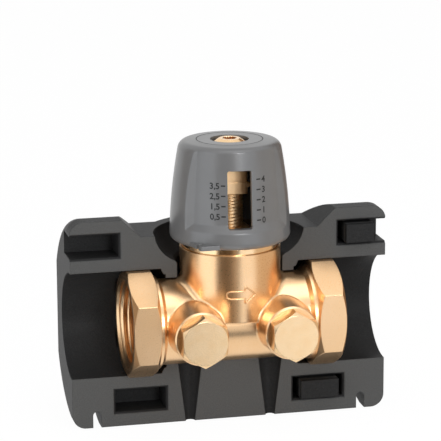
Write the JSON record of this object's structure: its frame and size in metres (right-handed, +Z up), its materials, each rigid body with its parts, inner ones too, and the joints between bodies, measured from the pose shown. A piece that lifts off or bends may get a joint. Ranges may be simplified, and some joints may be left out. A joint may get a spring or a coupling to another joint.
{
  "type": "presettable shutoff valve",
  "caption": "Presettable shutoff valve with threaded ports, turned down test plugs, a scale knob with indicator, and the rear half of its foam insulation shell.",
  "frame": {"origin": "where the axis of the pipe run and the axis of the stem cross", "axes": "+X along the pipe run in the direction of flow, +Y towards the back of the insulation shell, +Z up along the stem towards the knob"},
  "size_m": [0.1246, 0.0709, 0.1114],
  "materials": {
    "forged_brass": "satin, lightly blasted",
    "turned_brass": "machined",
    "knob_plastic": "satin moulded",
    "foam": "moulded foam, fine grain",
    "rubber": "matt",
    "soft_disc": "matt",
    "white_plastic": "matt",
    "steel": "ground"
  },
  "bodies": {
    "valve": {"valve_body": "forged_brass", "bonnet": "turned_brass", "bonnet_oring": "rubber", "threaded_post": "turned_brass", "test_plug_left": "turned_brass", "test_plug_right": "turned_brass", "test_plug_oring_left": "rubber", "test_plug_oring_right": "rubber", "insulation_half_shell": "foam"},
    "knob_and_stem": {"knob": "knob_plastic", "knob_screw": "turned_brass", "stem": "turned_brass", "stem_oring_lower": "rubber", "stem_oring_upper": "rubber", "stem_circlip": "steel", "stem_thrust_washer": "white_plastic"},
    "indicator": {"indicator_nut": "turned_brass"},
    "closing_plug": {"obturator": "turned_brass", "seat_disc": "soft_disc", "disc_washer": "turned_brass", "disc_screw": "steel"},
    "memory_lift": {"memory_oring": "rubber"},
    "memory_stop": {"memory_screw": "turned_brass"}
  },
  "joints": [
    {"name": "knob_turn", "type": "hinge", "parent": "valve", "child": "knob_and_stem", "pos_m": [0, 0, 0.032], "axis": [0, 0, 1], "range_deg": [-990, 450]},
    {"name": "indicator_slide", "type": "slide", "parent": "knob_and_stem", "child": "indicator", "axis": [0, 0, 1], "range_m": [-0.01064, 0.00485]},
    {"name": "closing_slide", "type": "slide", "parent": "valve", "child": "closing_plug", "axis": [0, 0, 1], "range_m": [-0.00552, 0.00252]},
    {"name": "memory_slide", "type": "slide", "parent": "knob_and_stem", "child": "memory_lift", "axis": [0, 0, 1], "range_m": [0, 0.0064]},
    {"name": "memory_turn", "type": "hinge", "parent": "memory_lift", "child": "memory_stop", "pos_m": [0, 0, 0.02], "axis": [0, 0, 1], "range_deg": [0, 2884]}
  ],
  "couplings": [
    {"joint": "indicator_slide", "follows": "knob_turn", "m_per_rad": 0.00061434},
    {"joint": "closing_slide", "follows": "knob_turn", "m_per_rad": 0.00031831},
    {"joint": "memory_turn", "follows": "memory_slide", "rad_per_m": 7854}
  ]
}
